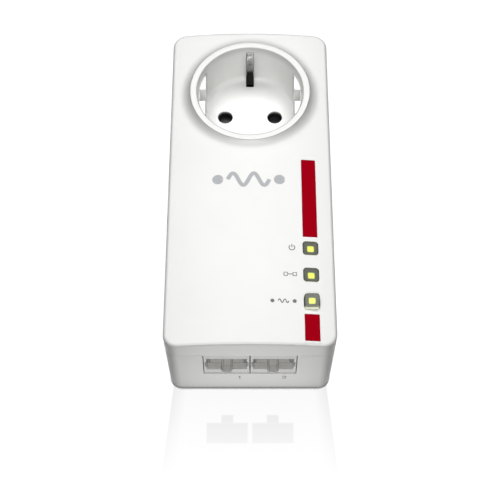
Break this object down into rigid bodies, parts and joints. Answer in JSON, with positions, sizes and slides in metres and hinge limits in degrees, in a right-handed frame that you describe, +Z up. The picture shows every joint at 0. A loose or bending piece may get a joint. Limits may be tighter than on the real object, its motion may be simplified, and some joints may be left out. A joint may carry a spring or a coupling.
{
  "type": "powerline adapter",
  "caption": "Wall-plug network adapter with a pass-through mains socket, two network sockets, indicator lights, a push button and a red inlay.",
  "frame": {"origin": "the point where the common axis of plug and socket meets the flat back face that rests on the wall", "axes": "+Z up along the long side, front face towards -Y, plug pins towards +Y, +X to the right seen from the front"},
  "size_m": [0.059, 0.077, 0.1323],
  "materials": {
    "cover_white": "smooth satin",
    "ring_white": "glossy",
    "shell_grey": "fine texture",
    "inlay_red": "glossy",
    "clear_guide": "clear plastic",
    "label_film": "printed film, blank",
    "nickel": "bright nickel plating",
    "spring_steel": "polished",
    "brass": "stamped",
    "dark_plastic": "matte",
    "jack_plastic": "matte",
    "gold_wire": "gold plated",
    "board_green": "lacquered",
    "screw_steel": "zinc plated",
    "film_sheet": "translucent film",
    "ferrite": "ceramic",
    "coil_tape": "tape wrapped",
    "capacitor_yellow": "potted box",
    "capacitor_black": "shrink sleeve",
    "capacitor_blue": "shrink sleeve",
    "copper_wire": "lacquered copper",
    "disc_blue": "lacquered ceramic",
    "chip_black": "moulded",
    "heat_sink": "extruded",
    "wire_brown": "insulation",
    "wire_blue": "insulation",
    "fuse_glass": "glass with metal caps",
    "light_chip": "resin"
  },
  "bodies": {
    "housing": {"front_cover": "cover_white", "rear_housing": "shell_grey", "stripe_upper": "inlay_red", "stripe_lower": "inlay_red", "light_guide_upper": "clear_guide", "light_guide_middle": "clear_guide", "rating_label": "label_film", "plug_body": "cover_white", "plug_pin_left": "nickel", "plug_pin_right": "nickel", "plug_earth_strip_top": "nickel", "plug_earth_strip_bottom": "nickel", "plug_earth_sleeve": "brass", "socket_insert": "ring_white", "socket_floor": "ring_white", "socket_earth_spring_top": "spring_steel", "socket_earth_spring_bottom": "spring_steel", "shutter_spring": "spring_steel", "contact_carrier": "dark_plastic", "contact_left": "brass", "contact_right": "brass", "earth_bridge": "brass", "jack_left": "jack_plastic", "jack_right": "jack_plastic", "jack_wires_left": "gold_wire", "jack_wires_right": "gold_wire", "jack_shield": "nickel", "logic_board": "board_green", "power_board": "board_green", "board_screws": "screw_steel", "power_board_screws": "screw_steel", "housing_screws": "screw_steel", "insulating_sheet": "film_sheet", "transformer_core": "ferrite", "transformer_coil": "coil_tape", "filter_capacitor": "capacitor_yellow", "bulk_capacitors": "capacitor_black", "output_capacitors": "capacitor_blue", "mains_choke": "copper_wire", "surge_disc": "disc_blue", "fuse": "fuse_glass", "fuse_clips": "nickel", "bridge_rectifier": "chip_black", "modem_chip": "chip_black", "network_chip": "chip_black", "memory_chip": "chip_black", "heat_sink": "heat_sink", "magnetics": "chip_black", "crystal": "nickel", "coupling_transformers": "ferrite", "board_lights": "light_chip", "switch_body": "chip_black", "wire_left": "wire_brown", "wire_right": "wire_blue"},
    "button": {"button_cap": "clear_guide", "switch_plunger": "label_film"},
    "shutter": {"shutter": "dark_plastic"}
  },
  "joints": [
    {"name": "button_press", "type": "slide", "parent": "housing", "child": "button", "axis": [0, 1, 0], "range_m": [0, 0.0005], "stiffness_N_per_m": 400, "springref_m": -0.0005},
    {"name": "shutter_turn", "type": "hinge", "parent": "housing", "child": "shutter", "pos_m": [0, -0.019, 0], "axis": [0, -1, 0], "range_deg": [0, 35], "deforming": ["shutter_spring"]}
  ]
}
